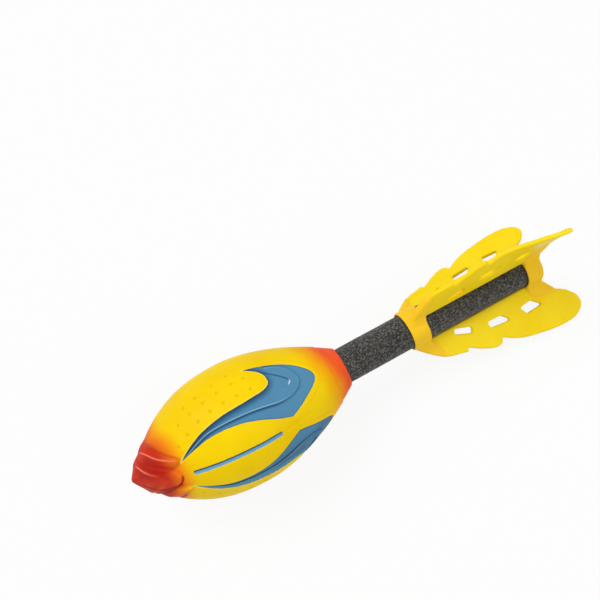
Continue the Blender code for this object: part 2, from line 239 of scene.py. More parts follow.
def inside(spots, outline):
    # which spots an outline encloses, by the edges of it that a line from each spot crosses
    within = np.zeros(len(spots), bool)
    for start, end in zip(outline, np.roll(outline, -1, axis=0)):
        if start[1] == end[1]:
            continue
        crosses = (start[1] > spots[:, 1]) != (end[1] > spots[:, 1])
        at = start[0] + (spots[:, 1] - start[1]) * (end[0] - start[0]) / (end[1] - start[1])
        within ^= crosses & (spots[:, 0] < at)
    return within


def depthInside(spots, scale, outline):
    # distance to an outline in millimetres, positive inside it
    distance, _ = nearness(spots, scale, outline, closed=True)
    return np.where(inside(spots, outline), distance, -distance)


# Head: a lofted skin with the moulded pattern in it, a rim, and a blind socket for the stick

head = {
    "radius": 40.25, "length": 151.3, "widest": 72.6, "setback": 1.4,   # mm, the widest place from the rim
    "nosePowers": (2.49, 1.08), "taperPower": 1.776,
    "rimRadius": 13.9, "rimRound": 0.5, "bandLength": 10.5, "bandStep": 0.35, "bandEdge": 0.5,
    "rimLine": 4.6, "rimLineDepth": 0.15, "rimLineWidth": 0.5,
    "boreRadius": 12.3, "socketDepth": 62.0,
    "profileSteps": 800, "segments": 480, "skinRings": 292, "lipRings": 5, "wallRings": 8, "floorRings": 4,
    "leastSlope": 0.25, "leastRadius": 2.0,           # keep the measures on the skin sane near the tip
    "turn": 40.6,                                     # degrees from the top fin to the face's middle
    "lean": 0.0765, "leanFrom": 112,                  # more degrees for each mm nearer the rim than this
    "foldAlong": (34, 52), "foldFade": 0.6, "foldDepth": 0.20, "foldWidth": 0.9,    # between the flashes
    "dimpleRadius": 1.6, "dimpleDepth": 0.62, "dimpleFloor": 0.1,
    "partingHeight": 0.16, "partingWidth": 0.45,
    "farOff": -20.0,                                  # mm, the reading of a form that is nowhere near

    # The flashes' depths and widths in mm. Pairs are where something starts and ends.
    "flash": {
        "along": (18, 119), "around": (2, 76),            # the part of the skin that holds it, mm and degrees
        "hookCorner": 7, "bowlLeaves": 10,                # places in the lines below
        "crest": 0.26, "foot": 0.55, "bowl": 1.15, "bowlRim": 0.22, "bandEdge": 0.20,
        "dip": (-0.1, 0.50), "climb": (0.45, 1.05),       # shares of the way over the bowl
        "hookDepth": 0.85, "hookClimb": 0.60, "hookAround": (31, 43), "hookAlong": (62, 54),
        "footWall": (0.05, 0.9), "footFade": 0.75, "footAround": (30, 46),
        "ripple": 0.10, "rippleTurn": 2.6, "rippleFrom": (0, -1.5), "rippleTo": (-0.3, -1.2),
        "bowlWall": (-0.35, 0.35), "edgeWall": (-0.1, 0.6), "edge": -0.2,
        "hair": 0.01,                                     # keeps a share from being divided by nothing
    },
    "bar": {"half": 1.45, "depth": 0.95, "ends": (55.2, 111.8), "wall": (-0.15, 1.30)},
    # the nose's two cheeks and its tongue, with heights and widths in mm
    "nose": {
        "from": 112, "cheekCorners": (0, 10, 11, 12), "tongueCorners": (0, 12, 13, 14),
        "cheekStep": 0.45, "cheekSlope": (-0.3, 4.0), "cheekGroove": 0.28, "cheekGrooveAt": -0.2,
        "tongueStep": 0.85, "tongueSlope": (-0.30, 0.45), "tongueGroove": 0.35, "tongueGrooveAt": -0.9,
        "grooveWidth": 0.9, "grooveAround": (30, 20),
        "crest": 0.55, "crestFront": 2.6, "crestBack": 0.65, "crestEnd": (0, 1.6),
        "tongueCrestFrom": (129, 135),
    },

    "colours": {
        "yellow": (0.90, 0.590, 0.0), "paleYellow": (0.95, 0.665, 0.002), "pitShadeYellow": (0.60, 0.375, 0.0),
        "highlightYellow": (1.0, 0.80, 0.10), "orange": (0.92, 0.235, 0.006), "red": (0.60, 0.028, 0.010),
        "shadeRed": (0.36, 0.009, 0.005), "rimRed": (0.90, 0.078, 0.026), "warmRed": (0.74, 0.125, 0.026),
        "highlightRed": (1.0, 0.30, 0.16), "blue": (0.072, 0.232, 0.395), "paleBlue": (0.096, 0.270, 0.430),
        "shadeBlue": (0.018, 0.072, 0.160), "glintBlue": (0.32, 0.54, 0.70), "litBlue": (0.16, 0.39, 0.56),
        "glintSpot": (0.80, 0.90, 0.96),
    },
    # Where each tint of the skin comes and goes, in the unit of its reading: mm from the rim
    # or from a line of the pattern, or degrees from the face's middle. Two values are a start
    # and an end, two more the amounts there. Three are the start, the peak and the end.
    "skin": {
        "cloudGrain": (22, 3, 0.55), "sprayGrain": (75, 4, 0.6), "cloudDrift": 9, "sprayDrift": 4,
        "glossGrain": (140, 3, 0.6), "gloss": (0.3, 0.7, 0.40, 0.55),
        "cloud": (0.35, 0.65), "litSide": (-2, 3), "pitShade": (1.7, 0.3, 0, 0.38),
        "noseDrift": 0.5, "onCheek": (-1, 1.2, 0, 2), "shadeShare": (0, 1, 0.25, 1), "onTongue": (-1.5, 0.4),
        "holdBack": (30, 76, 0, 8), "shadeHoldBack": (11, 20, 0, 5.5), "shadeEnd": (88, 50),
        "orangeNose": (109, 120, 0, 0.97), "redNose": (116, 129),
        "warmTongue": (0.2, 2.2), "warmSide": (6, -22), "warmFront": (149, 138), "warmth": 0.75,
        "rimDrift": 0.45, "rimSlant": 0.085, "orangeRim": (5, 22, 0.85, 0), "redRim": (1, 10, 0.90, 0),
        "bandLine": (9.6, 10.4, 11.4), "bandShade": 0.30, "rimLine": (3.8, 4.6, 5.4), "rimShade": 0.25,
        "maskLine": (-4.2, -3.4, -2.6), "maskAlong": (12, 26, 50), "maskLineShade": 0.22,
        "pastCheekCrest": (0.3, 2.2), "beforeTongueCrest": (-0.2, -1.8), "valleyFront": (122, 133),
        "pastTongueCrest": (0.2, 1.2), "tongueValleyEnd": (6, 2), "tongueValleyFront": (130, 137),
        "valleyAround": (66, 38), "valleyShade": 0.60,
        "cheekGroove": (-2.2, -0.4, 1.2), "cheekGrooveShade": 0.40,
        "tongueGroove": (-1.7, -0.45, 0.2), "tongueGrooveAround": (60, 40),
        "shadeGroove": (-2.4, -0.5, 0.9), "shadeGrooveFront": (119, 125), "shadeGrooveTint": 0.9,
        "crestLine": (-0.7, -0.05, 0.7), "cheekCrestIn": (0, 2), "cheekCrestAround": (86, 66),
        "tongueCrestFront": (130, 136), "tongueCrestAround": (66, 48),
        "crestAround": (12, 32, 0.4, 1), "crestHighlight": 0.75,
        "shadeCrest": (-2.2, -0.9, 0.3), "shadeCrestIn": (-0.5, 1.5), "shadeCrestTint": 0.8,
        "lipLine": (-1.0, -0.4, -0.05), "lipMask": (-2, -1), "lipHighlight": 0.7,
    },
    # the same for the tints inside the flashes and the bar
    "blue": {
        "tail": (34, 58), "pale": (30, 78, 0.8, 0.05), "dimpleEdgeShade": (5.0, 0.6, 0, 0.85),
        "foot": (0.05, 0.55, 2.6), "footShade": (0, 1, 0.30, 0.95),
        "glint": (-0.8, -0.15, 0.25), "glintAmount": (0, 1, 0.08, 0.8),
        "bowlWall": (-0.5, 0.1, 1.0), "bowlAround": (36, 42), "bowlRidge": (-1, -2), "bowlShade": 0.8,
        "sparkLine": (-0.5, 0.05, 0.6), "sparkAlong": (39.6, 38.6), "sparkAround": (37, 41, 45),
        "edgeShade": (0.9, 0.15, 0, 0.5), "undersideShade": (-14, -34, 0, 0.45), "undersideAlong": (74, 60),
        "litDimpleEdge": (3.0, 0.8), "litDimpleEdgeAmount": 0.6,
        "farEdge": (1.5, 0.2), "farFromDimples": (1.0, 2.4), "barSideShadeAmount": 0.7,
        "barSide": (0.95, 0.15), "barMask": (-0.6, 0.2),
        "wanderGrain": (260, 2, 0.5), "wander": 0.35, "crisp": (-0.15, 0.15),
    },
    # the same for heights in mm
    "bump": {
        "ridge": (-0.9, -0.1, 0.35), "ridgeMask": (0, 0.6), "ridgeHeight": (0, 1, 0.06, 0.16),
        "crest": (-0.5, 0.05, 1.2), "cheekIn": (0, 1.2), "tongueFront": (130, 135), "crestHeight": 0.20,
        "mask": (-0.25, 0.25), "maskDepth": 0.10,
        "fineGrain": (900, 2, 0.5), "finePeel": 0.035, "coarseGrain": (260, 2, 0.5), "coarsePeel": 0.05,
    },
}


# One quarter of the moulded pattern, as (mm from the rim, degrees from the middle of
# the face). It is the same on both sides of the middle, and on the other face.
flashBarSide = [(115.5, 15.5), (105, 21.1), (95, 24.7), (84, 25.4), (73, 23.7), (62, 19), (53, 12.9),
                (45.4, 8.3), (40.5, 11.2), (33, 17.7), (26.3, 25.1), (22.5, 32.5), (21.8, 41.6),
                (24.8, 50.4), (30, 58.2), (37.5, 64.4), (48, 68), (60.3, 70.4)]
flashDimpleSide = [(60.3, 70.4), (53.3, 64.1), (49.8, 58), (49, 52), (49.6, 47), (53.5, 42.9),
                   (60.5, 40.7), (70, 38.9), (81, 37.3), (90, 34.8), (99, 30.9), (108, 24.1),
                   (115.5, 15.5)]
flashRidge = [(115.5, 15.5), (109, 20.2), (101, 25.8), (94, 28.9), (87, 29.9), (79, 30.3), (71, 30.1),
              (64, 29.6), (56, 28.2), (48, 26.6), (40.2, 27.9), (35.2, 31.8), (32.6, 36.8), (31.7, 42.6),
              (32.9, 50.2), (35.7, 58), (40.7, 62.8), (47, 65.5)]
bowlEnd = [(44.5, 31.5), (41.6, 36.2), (38.8, 39), (37, 42), (37.4, 45), (40.6, 50.4), (45.7, 57),
           (49.5, 61), (53.8, 65.8), (57, 68.3)]
cheekEdge = [(133.6, 100), (133.4, 90), (132.8, 78), (128.3, 50), (124.5, 35.8), (121, 27.5), (118, 22.4),
             (116.2, 18.5), (118.6, 14.5), (125.2, 12.7), (132, 20), (165, 20), (165, 100)]
cheekRidge = [(139.2, 98), (138.6, 85), (134.9, 61), (130.6, 41.5), (126.4, 30.3), (121.5, 23.2),
              (117.4, 19.4)]
tongueEdge = [(141.6, 100), (141, 72), (138.2, 46), (131.4, 22.8), (125.8, 14.2), (121.3, 7.2),
              (119.2, 0), (121.3, -7.2), (125.8, -14.2), (131.4, -22.8), (138.2, -46), (141, -72),
              (141.6, -100), (165, -100), (165, 100)]
tongueRidge = [(144, 98), (143.4, 75), (141.4, 51), (138.8, 30.4), (135.4, 17.6), (131.2, 9.5)]
dimpleSpots = [(70, 71.6), (80, 69.2), (92, 65.7), (101, 63),
               (61, 61.5), (69, 60.8), (79, 58.8), (89, 56.1), (99, 53.1), (108, 50.3),
               (60, 48.1), (69, 47.6), (78, 46.6), (87, 45.2), (96, 42), (105, 36.3), (113, 30)]


def skinRadius(height):
    # the smooth skin, with its tip set back by the layers that the nose gets on top
    widest = head["length"] - head["widest"]
    front = np.clip((widest - height) / (widest - head["setback"]), 0, 1)
    back = np.clip((height - widest) / head["widest"], 0, 1)
    noseRadius = head["radius"] * (1 - front ** head["nosePowers"][0]) ** (1 / head["nosePowers"][1])
    taper = head["radius"] - (head["radius"] - head["rimRadius"]) * back ** head["taperPower"]
    return np.where(height < widest, noseRadius, taper)


def headPath():
    # radius and height of every ring, from the nose tip over the rim to the socket's floor
    turn = np.linspace(0, math.pi / 2, head["profileSteps"])
    widest = head["length"] - head["widest"]
    lipStart = head["length"] - head["rimRound"]
    heights = np.concatenate([head["setback"] + (widest - head["setback"]) * (1 - np.cos(turn)),
                              np.linspace(widest, lipStart, head["profileSteps"])[1:]])
    radii = skinRadius(heights)
    run = np.concatenate([[0], np.cumsum(np.hypot(np.diff(radii), np.diff(heights)))])
    wanted = np.linspace(0, run[-1], head["skinRings"] + 1)
    skin = np.stack([np.interp(wanted, run, radii), np.interp(wanted, run, heights)], axis=1)
    rimOuter = skin[-1, 0] - head["bandStep"]
    middle = (rimOuter + head["boreRadius"]) / 2
    half = (rimOuter - head["boreRadius"]) / 2
    lip = [(middle + half * math.cos(angle), lipStart + head["rimRound"] * math.sin(angle))
           for angle in np.linspace(0, math.pi, head["lipRings"] + 1)[1:]]
    floor = head["length"] - head["socketDepth"]
    wall = [(head["boreRadius"], height)
            for height in np.linspace(lipStart, floor, head["wallRings"] + 1)[1:]]
    disc = [(radius, floor) for radius in np.linspace(head["boreRadius"], 0, head["floorRings"] + 1)[1:]]
    return np.vstack([skin, lip, wall, disc])


def swell(distance, width):
    # one on a line, fading to nothing over about twice the width
    return np.exp(-(distance / width) ** 2)


def flashRelief(spots, scale):
    # The flash is a bowl along the dimples and a band along the bar, with a crest
    # between them that curls round inside the hook.
    flash = head["flash"]
    along, around = spots[:, 0], spots[:, 1]
    barSide = flowing(flashBarSide, corners=(flash["hookCorner"],))
    dimpled = flowing(flashDimpleSide)
    bowlEdge = np.vstack([flowing(flashRidge[:flash["bowlLeaves"]] + bowlEnd), dimpled])
    painted = depthInside(spots, scale, np.vstack([barSide[:-1], dimpled[:-1]]))
    bowl = depthInside(spots, scale, bowlEdge)
    toRidge, side = nearness(spots, scale, flowing(flashRidge))
    outward = toRidge * side
    toDimples, _ = nearness(spots, scale, dimpled)
    toBar, _ = nearness(spots, scale, barSide)

    share = bowl / (bowl + toDimples + flash["hair"])
    tailFloor = -flash["crest"] - (flash["bowl"] - flash["crest"]) * ease(share, *flash["dip"])
    tailFloor += (flash["bowl"] - flash["bowlRim"]) * ease(share, *flash["climb"])
    hookFloor = -flash["hookDepth"] * flash["bowl"] + flash["hookClimb"] * share
    hook = ease(around, *flash["hookAround"]) * ease(along, *flash["hookAlong"])
    floor = tailFloor * (1 - hook) + hookFloor * hook

    beyond = np.maximum(outward, 0)
    foot = flash["foot"] * (1 - flash["footFade"] * ease(around, *flash["footAround"]))
    band = -flash["crest"] - foot * ease(outward, *flash["footWall"])
    band += (foot + flash["crest"] - flash["bandEdge"]) * (beyond / (beyond + toBar + flash["hair"]))
    band += (flash["ripple"] * hook * np.sin(outward * flash["rippleTurn"])
             * ease(outward, *flash["rippleFrom"]) * ease(bowl, *flash["rippleTo"]))
    relief = band + (floor - band) * ease(bowl, *flash["bowlWall"])
    relief = np.where(painted > flash["edge"], relief * ease(painted, *flash["edgeWall"]), 0)
    return relief, {"painted": painted, "ridge": outward, "bowl": bowl,
                    "dimpleSide": np.where(painted > 0, toDimples, -toDimples)}


def noseRelief(spots, scale):
    # two cheeks and, over them, a tongue, each with a crest that drops off toward the tip
    nose = head["nose"]
    along, around = spots[:, 0], spots[:, 1]
    cheek = depthInside(spots, scale, flowing(cheekEdge, corners=nose["cheekCorners"], closed=True))
    tongue = depthInside(spots, scale, flowing(tongueEdge, corners=nose["tongueCorners"], closed=True))
    relief = nose["cheekStep"] * ease(cheek, *nose["cheekSlope"])
    relief -= nose["cheekGroove"] * swell(cheek - nose["cheekGrooveAt"], nose["grooveWidth"])
    tongueGroove = swell(tongue - nose["tongueGrooveAt"], nose["grooveWidth"])
    relief -= nose["tongueGroove"] * tongueGroove * ease(around, *nose["grooveAround"])
    relief += (nose["cheekStep"] + nose["tongueStep"] - relief) * ease(tongue, *nose["tongueSlope"])
    marks = {"cheek": cheek, "tongue": tongue}
    onTongue = ease(tongue, *nose["crestEnd"]) * ease(along, *nose["tongueCrestFrom"])
    for name, line, room in (("cheekCrest", cheekRidge, ease(cheek, *nose["crestEnd"])),
                             ("tongueCrest", tongueRidge, onTongue)):
        toLine, side = nearness(spots, scale, flowing(line))
        marks[name] = toLine * side
        width = np.where(marks[name] > 0, nose["crestFront"], nose["crestBack"])
        relief += nose["crest"] * swell(marks[name], width) * room
    return relief, marks


def headRelief(fromRim, around, scale):
    # height of the moulded pattern above the smooth skin, and the distances that the paint needs
    flash, bar, nose = head["flash"], head["bar"], head["nose"]
    relief = np.zeros(len(around))
    marks = {}
    spots = np.stack([fromRim, around], axis=1)
    hasFlash = (fromRim > flash["along"][0]) & (fromRim < flash["along"][1])
    hasFlash &= (around > flash["around"][0]) & (around < flash["around"][1])
    for shape, area in ((flashRelief, hasFlash), (noseRelief, fromRim > nose["from"])):
        height, found = shape(spots[area], scale[area])
        relief[area] += height
        for name, values in found.items():
            marks[name] = np.full(len(around), head["farOff"])
            marks[name][area] = values

    aside = around * scale[:, 1]
    along = np.clip(fromRim, bar["ends"][0] + bar["half"], bar["ends"][1] - bar["half"])
    marks["bar"] = bar["half"] - np.hypot((fromRim - along) * scale[:, 0], aside)
    relief -= bar["depth"] * ease(marks["bar"], *bar["wall"])
    pastFold = np.maximum(head["foldAlong"][0] - fromRim, fromRim - head["foldAlong"][1])
    toFold = np.hypot(np.maximum(0, pastFold) * head["foldFade"], aside)
    relief -= head["foldDepth"] * swell(toFold, head["foldWidth"])

    marks["dimple"] = np.full(len(around), -head["farOff"])
    for spotAlong, spotAround in dimpleSpots:
        toSpot = np.hypot((fromRim - spotAlong) * scale[:, 0], (around - spotAround) * scale[:, 1])
        marks["dimple"] = np.minimum(marks["dimple"], toSpot)
    relief -= head["dimpleDepth"] * (1 - ease(marks["dimple"], head["dimpleFloor"], head["dimpleRadius"]))
    relief += head["partingHeight"] * swell((90 - around) * scale[:, 1], head["partingWidth"])
    band = (head["bandLength"] + head["bandEdge"], head["bandLength"] - head["bandEdge"])
    relief -= head["bandStep"] * ease(fromRim, *band)
    relief -= head["rimLineDepth"] * swell(fromRim - head["rimLine"], head["rimLineWidth"])
    return relief, marks


def makeHead():
    path = headPath()
    rings = len(path) - 1
    deselectAll()
    bpy.ops.mesh.primitive_uv_sphere_add(segments=head["segments"], ring_count=rings, radius=1)
    piece = bpy.context.object
    piece.name = "foamHead"
    ball = pointsOf(piece)
    ring = np.rint(rings * (1 - np.arccos(np.clip(ball[:, 2], -1, 1)) / math.pi)).astype(int)
    turn = np.arctan2(ball[:, 1], ball[:, 0])
    radius, height = path[ring, 0], path[ring, 1]

    slope = np.gradient(path, axis=0)
    slope /= np.maximum(np.hypot(slope[:, 0], slope[:, 1]), 1e-9)[:, None]
    slope[0] = (1, 0)
    outRadius, outHeight = slope[ring, 1], -slope[ring, 0]
    onSkin = ring <= head["skinRings"]

    # A face's middle has side 0 and the parting line 90. Scale turns mm along the axis
    # and degrees round it into mm on the skin.
    fromRim = head["length"] - height
    faceTurn = head["turn"] + head["lean"] * np.maximum(head["leanFrom"] - fromRim, 0)
    side = (faceTurn - np.degrees(turn) + 90) % 180 - 90
    around = np.abs(side)
    scale = np.stack([1 / np.maximum(np.abs(slope[ring, 1]), head["leastSlope"]),
                      np.radians(1) * np.maximum(radius, head["leastRadius"])], axis=1)
    relief = np.zeros(len(ball))
    relief[onSkin], marks = headRelief(fromRim[onSkin], around[onSkin], scale[onSkin])

    radius = np.maximum(radius + relief * outRadius, 0)
    height = height + relief * outHeight
    movePoints(piece, np.stack([radius * np.cos(turn), radius * np.sin(turn), height], axis=1) / 1000)
    keepReading(piece, "fromRim", np.where(onSkin, fromRim, 0))
    keepReading(piece, "around", around)
    keepReading(piece, "side", side)
    for name, values in marks.items():
        everywhere = np.full(len(ball), head["farOff"])
        everywhere[onSkin] = values
        keepReading(piece, name, everywhere)
    bpy.ops.object.shade_smooth()
    layDown(piece)
    return piece


def between(value, low, peak, high):
    # rises to one at the peak and falls again
    return value.rise(low, peak) * value.rise(high, peak)


def layered(finish, base, layers):
    for amount, name in layers:
        base = finish.colour(amount, base, head["colours"][name])
    return base


def paintSkin(finish, marks, cloud, drift, lit):
    # airbrushed skin: yellow, going red over the nose and at the rim, with painted shade in the dimples,
    # creases and valleys and painted highlights on the crests
    fromRim, around, cheek, tongue = marks["fromRim"], marks["around"], marks["cheek"], marks["tongue"]
    cheekCrest, tongueCrest = marks["cheekCrest"], marks["tongueCrest"]
    paint, colours = head["skin"], head["colours"]
    toNose = fromRim + drift * paint["noseDrift"]
    toNose = toNose + cheek.rise(*paint["onCheek"]) * lit.rise(*paint["shadeShare"])
    toNose = toNose + tongue.rise(*paint["onTongue"])
    toNose = toNose - around.rise(*paint["holdBack"])
    toNose = toNose - (1 - lit) * around.rise(*paint["shadeHoldBack"]) * around.rise(*paint["shadeEnd"])
    warm = tongue.rise(*paint["warmTongue"]) * marks["side"].rise(*paint["warmSide"])
    warm = warm * fromRim.rise(*paint["warmFront"]) * paint["warmth"]
    toRim = fromRim + drift * paint["rimDrift"] - around * paint["rimSlant"]

    # orange lines along the band step, the rim groove and a crease beside the flash: painted shade in these
    # creases
    lines = between(fromRim, *paint["bandLine"]) * paint["bandShade"]
    lines = lines + between(fromRim, *paint["rimLine"]) * paint["rimShade"]
    maskLine = between(marks["painted"], *paint["maskLine"]) * between(fromRim, *paint["maskAlong"])
    lines = lines + maskLine * paint["maskLineShade"]
    # the valleys behind the nose's crests are painted darker red: painted shade
    valley = cheekCrest.rise(*paint["pastCheekCrest"]) * tongueCrest.rise(*paint["beforeTongueCrest"])
    valley = valley * fromRim.rise(*paint["valleyFront"])
    onTongue = tongueCrest.rise(*paint["pastTongueCrest"]) * tongueCrest.rise(*paint["tongueValleyEnd"])
    valley = valley + onTongue * fromRim.rise(*paint["tongueValleyFront"])
    valley = valley * around.rise(*paint["valleyAround"]) * paint["valleyShade"]
    # dark red along the grooves of the cheeks and tongue, on the lit and the shaded face: painted shade, like
    # the valleys and the shaded crest drop
    grooveShade = between(cheek, *paint["cheekGroove"]) * paint["cheekGrooveShade"] * lit
    underTongue = between(tongue, *paint["tongueGroove"]) * around.rise(*paint["tongueGrooveAround"])
    grooveShade = grooveShade + underTongue * (1 - lit)
    shadeGroove = between(cheek, *paint["shadeGroove"]) * fromRim.rise(*paint["shadeGrooveFront"])
    grooveShade = grooveShade + shadeGroove * (1 - lit) * paint["shadeGrooveTint"]
    # pale red lines on the crests of the lit face: painted highlights
    crest = between(cheekCrest, *paint["crestLine"]) * cheek.rise(*paint["cheekCrestIn"])
    crest = crest * around.rise(*paint["cheekCrestAround"])
    tongueTop = between(tongueCrest, *paint["crestLine"]) * fromRim.rise(*paint["tongueCrestFront"])
    crest = crest + tongueTop * around.rise(*paint["tongueCrestAround"])
    crest = crest * around.rise(*paint["crestAround"]) * lit * paint["crestHighlight"]
    shaded = between(cheekCrest, *paint["shadeCrest"]) * cheek.rise(*paint["shadeCrestIn"]) * (1 - lit)

    yellow = finish.colour(cloud.rise(*paint["cloud"]), colours["yellow"], colours["paleYellow"])
    return layered(finish, yellow, [
        # the dimples are painted darker yellow: painted shade in the hollows
        (marks["dimple"].rise(*paint["pitShade"]), "pitShadeYellow"),
        (toNose.rise(*paint["orangeNose"]), "orange"),
        (toNose.rise(*paint["redNose"]), "red"),
        (warm, "warmRed"),
        (toRim.rise(*paint["orangeRim"]), "orange"),
        (toRim.rise(*paint["redRim"]), "rimRed"),
        (lines, "orange"),
        (valley, "shadeRed"),
        (grooveShade, "shadeRed"),
        (crest, "highlightRed"),
        (shaded * paint["shadeCrestTint"], "shadeRed"),
    ])


def paintBlue(finish, marks, drift, lit):
    # flashes with painted shade where they fall away and painted highlights on the crest, and the bar with
    # one half painted lit and the other shaded
    fromRim, around, ridge = marks["fromRim"], marks["around"], marks["ridge"]
    painted, dimpleSide, bowl = marks["painted"], marks["dimpleSide"], marks["bowl"]
    paint, colours = head["blue"], head["colours"]
    inTail = fromRim.rise(*paint["tail"])
    wall = between(bowl, *paint["bowlWall"]) * around.rise(*paint["bowlAround"])
    wall = wall * ridge.rise(*paint["bowlRidge"])
    glintSpot = between(bowl, *paint["sparkLine"]) * fromRim.rise(*paint["sparkAlong"])
    barSideShade = painted.rise(*paint["farEdge"]) * dimpleSide.rise(*paint["farFromDimples"]) * (1 - lit)
    pale = (fromRim + drift).rise(*paint["pale"])
    blue = finish.colour(pale, colours["blue"], colours["paleBlue"])
    # the dark blue layers are painted shade: along the walls, at the crest's foot, at the bowl's end, just
    # inside the edges and on the face away from the top fin
    blue = layered(finish, blue, [
        (dimpleSide.rise(*paint["dimpleEdgeShade"]) * inTail * lit, "shadeBlue"),
        (between(ridge, *paint["foot"]) * inTail.rise(*paint["footShade"]), "shadeBlue"),
        # the pale blue line on the crest and the near-white spot at the bowl's end are painted highlights
        (between(ridge, *paint["glint"]) * inTail.rise(*paint["glintAmount"]), "glintBlue"),
        (wall * paint["bowlShade"], "shadeBlue"),
        (glintSpot * between(around, *paint["sparkAround"]), "glintSpot"),
        (painted.rise(*paint["edgeShade"]), "shadeBlue"),
        (marks["side"].rise(*paint["undersideShade"]) * fromRim.rise(*paint["undersideAlong"]), "shadeBlue"),
        # on the shaded face the wall along the dimples is painted lighter: painted light
        (dimpleSide.rise(*paint["litDimpleEdge"]) * (1 - lit) * inTail * paint["litDimpleEdgeAmount"], "litBlue"),
        (barSideShade * paint["barSideShadeAmount"], "shadeBlue"),
    ])
    # the bar's half toward the top fin is painted dark as shade, the other half pale as lit
    barLitSide = marks["side"].rise(*paint["barSide"])
    barLitAndShaded = finish.colour(barLitSide, colours["shadeBlue"], colours["litBlue"])
    return finish.colour(marks["bar"].rise(*paint["barMask"]), blue, barLitAndShaded)


def headFinish():
    finish = Finish("airbrushedFoamSkin", {"IOR": 1.15})
    skinPaint, bluePaint, skinBump = head["skin"], head["blue"], head["bump"]
    marks = {name: finish.reading(name) for name in
             ("fromRim", "around", "side", "painted", "ridge", "bowl", "dimpleSide", "cheek", "tongue",
              "cheekCrest", "tongueCrest", "bar", "dimple")}
    painted = marks["painted"]
    cloud = finish.grain(*skinPaint["cloudGrain"])
    spray = finish.grain(*skinPaint["sprayGrain"])
    drift = (cloud - 0.5) * skinPaint["cloudDrift"] + (spray - 0.5) * skinPaint["sprayDrift"]
    # the face toward the top fin counts as lit and the other as shaded; the painted light and shade follow
    # this
    lit = marks["side"].rise(*skinPaint["litSide"])

    # a crisp masked edge that wanders a little, with a painted highlight along the yellow edge beside the
    # dimples
    skin = paintSkin(finish, marks, cloud, drift, lit)
    lip = between(marks["dimpleSide"], *skinPaint["lipLine"]) * painted.rise(*skinPaint["lipMask"])
    skin = layered(finish, skin, [(lip * skinPaint["lipHighlight"], "highlightYellow")])
    blue = paintBlue(finish, marks, drift, lit)
    mask = finish.node("ShaderNodeMath", {"operation": "MAXIMUM"}, {0: painted, 1: marks["bar"]})
    wobble = (finish.grain(*bluePaint["wanderGrain"]) - 0.5) * bluePaint["wander"]
    finish.feed("Base Color", finish.colour((mask + wobble).rise(*bluePaint["crisp"]), skin, blue))
    finish.feed("Roughness", finish.grain(*skinPaint["glossGrain"]).rise(*skinPaint["gloss"]))

    inTail = marks["fromRim"].rise(*bluePaint["tail"])
    sharp = between(marks["ridge"], *skinBump["ridge"]) * painted.rise(*skinBump["ridgeMask"])
    sharp = sharp * inTail.rise(*skinBump["ridgeHeight"])
    cheekTop = between(marks["cheekCrest"], *skinBump["crest"]) * marks["cheek"].rise(*skinBump["cheekIn"])
    sharp = sharp + cheekTop * skinBump["crestHeight"]
    tongueTop = between(marks["tongueCrest"], *skinBump["crest"])
    tongueTop = tongueTop * marks["fromRim"].rise(*skinBump["tongueFront"])
    sharp = sharp + tongueTop * skinBump["crestHeight"]
    sharp = sharp - mask.rise(*skinBump["mask"]) * skinBump["maskDepth"]
    peel = finish.grain(*skinBump["fineGrain"]) * skinBump["finePeel"]
    peel = peel + finish.grain(*skinBump["coarseGrain"]) * skinBump["coarsePeel"]
    finish.bump((sharp + peel) * 0.001)     # mm to metres
    return finish


foamHead = makeHead()
headFinish().dress(foamHead)
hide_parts("head")
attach(foamHead, "root")
print("head:", len(foamHead.data.vertices), "points")


# Stick: a foam sleeve with bead marks, and the rod inside it

sleeve = {
    "start": 0.0896, "radius": 0.0120, "bore": 0.0043, "around": 120, "rings": 220,
    "skinFrom": 0.010,                          # metres, what is farther out belongs to the outer skin
    "edge": 0.0005, "edgeSteps": 3, "smoothUnder": 40,
    "beadSize": 0.0016, "beadDepth": 0.00010,
    "swellSize": 0.08, "swell": 0.00010,        # the size is a share of a bead's, so slow waves
    "black": (0.003, 0.003, 0.003), "speck": (0.160, 0.149, 0.128), "seam": (0.005, 0.005, 0.005),
    "grey": (0.080, 0.074, 0.066),
    "speckGrain": (720, 4, 0.75), "speckIn": (0.45, 0.60), "beadCells": 600, "seamIn": (0.45, 0.80, 0, 0.7),
    "cloudGrain": (45, 2, 0.5), "cloudIn": (0.35, 0.7, 0, 0.25), "roughness": (0.3, 0.7, 0.90, 0.55),
    "beadHeight": -0.0005, "speckHeight": 0.0011,
}

rod = {
    "radius": 0.0040, "start": 0.0896, "around": 64,
    "edge": 0.0004, "edgeSteps": 3, "smoothUnder": 35, "eye": 0.0012, "eyeDepth": 0.0006,
    "grey": (0.62, 0.61, 0.56), "white": (0.76, 0.75, 0.70), "streakGrain": (160, 3, 0.55),
    "streak": (0.3, 0.7), "roughness": (0.3, 0.7, 0.38, 0.55),
    "peelGrain": (1200, 2, 0.5), "peelBump": (0.15, 0.0002),
}


def pickFaces(piece, wanted):
    bpy.ops.mesh.select_mode(type="FACE")
    bpy.ops.mesh.select_all(action="DESELECT")
    bpy.ops.object.mode_set(mode="OBJECT")
    for face in piece.data.polygons:
        face.select = wanted(face)
    bpy.ops.object.mode_set(mode="EDIT")


def pickEdges(piece, wanted):
    bpy.ops.mesh.select_mode(type="EDGE")
    bpy.ops.mesh.select_all(action="DESELECT")
    bpy.ops.object.mode_set(mode="OBJECT")
    points = [vertex.co for vertex in piece.data.vertices]
    for edge in piece.data.edges:
        edge.select = wanted(points[edge.vertices[0]], points[edge.vertices[1]])
    bpy.ops.object.mode_set(mode="EDIT")


